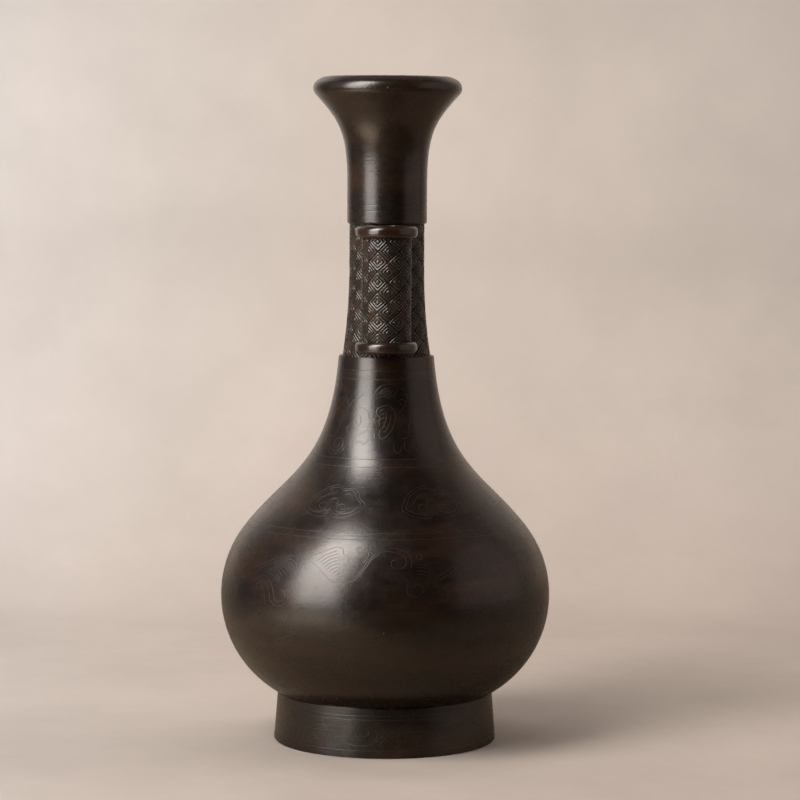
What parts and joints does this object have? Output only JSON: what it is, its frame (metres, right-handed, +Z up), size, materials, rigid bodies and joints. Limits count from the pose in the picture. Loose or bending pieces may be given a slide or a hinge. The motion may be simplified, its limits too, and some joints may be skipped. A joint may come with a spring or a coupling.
{
  "type": "bronze bottle vase",
  "caption": "Dark bronze bottle vase with a round belly on a low foot ring, a recessed patterned neck with tube handles before and behind it, and a trumpet mouth.",
  "frame": {"origin": "centre of the standing ring, on the surface that the vase stands on", "axes": "+Z up along the vase's axis; the tube handles stand on the Y axis, the front one towards -Y"},
  "size_m": [0.139, 0.139, 0.28],
  "materials": {
    "dark_bronze": "near-black brown patina, waxed to a satin gloss, with fine engraved lines",
    "relief_bronze": "near-black brown patina over a cast lozenge relief, ridges rubbed brighter",
    "collar_bronze": "brown patina, worn smooth and glossy by handling",
    "inner_bronze": "dull dark patina, as cast, on hidden faces"
  },
  "bodies": {
    "root": {"foot_ring": "dark_bronze", "base_plate": "inner_bronze", "body": "dark_bronze", "neck_sleeve": "relief_bronze", "mouth_section": "dark_bronze", "front_handle_tube": "relief_bronze", "rear_handle_tube": "relief_bronze", "front_upper_collar": "collar_bronze", "front_lower_collar": "collar_bronze", "rear_upper_collar": "collar_bronze", "rear_lower_collar": "collar_bronze", "handle_rivets": "inner_bronze"}
  },
  "joints": []
}
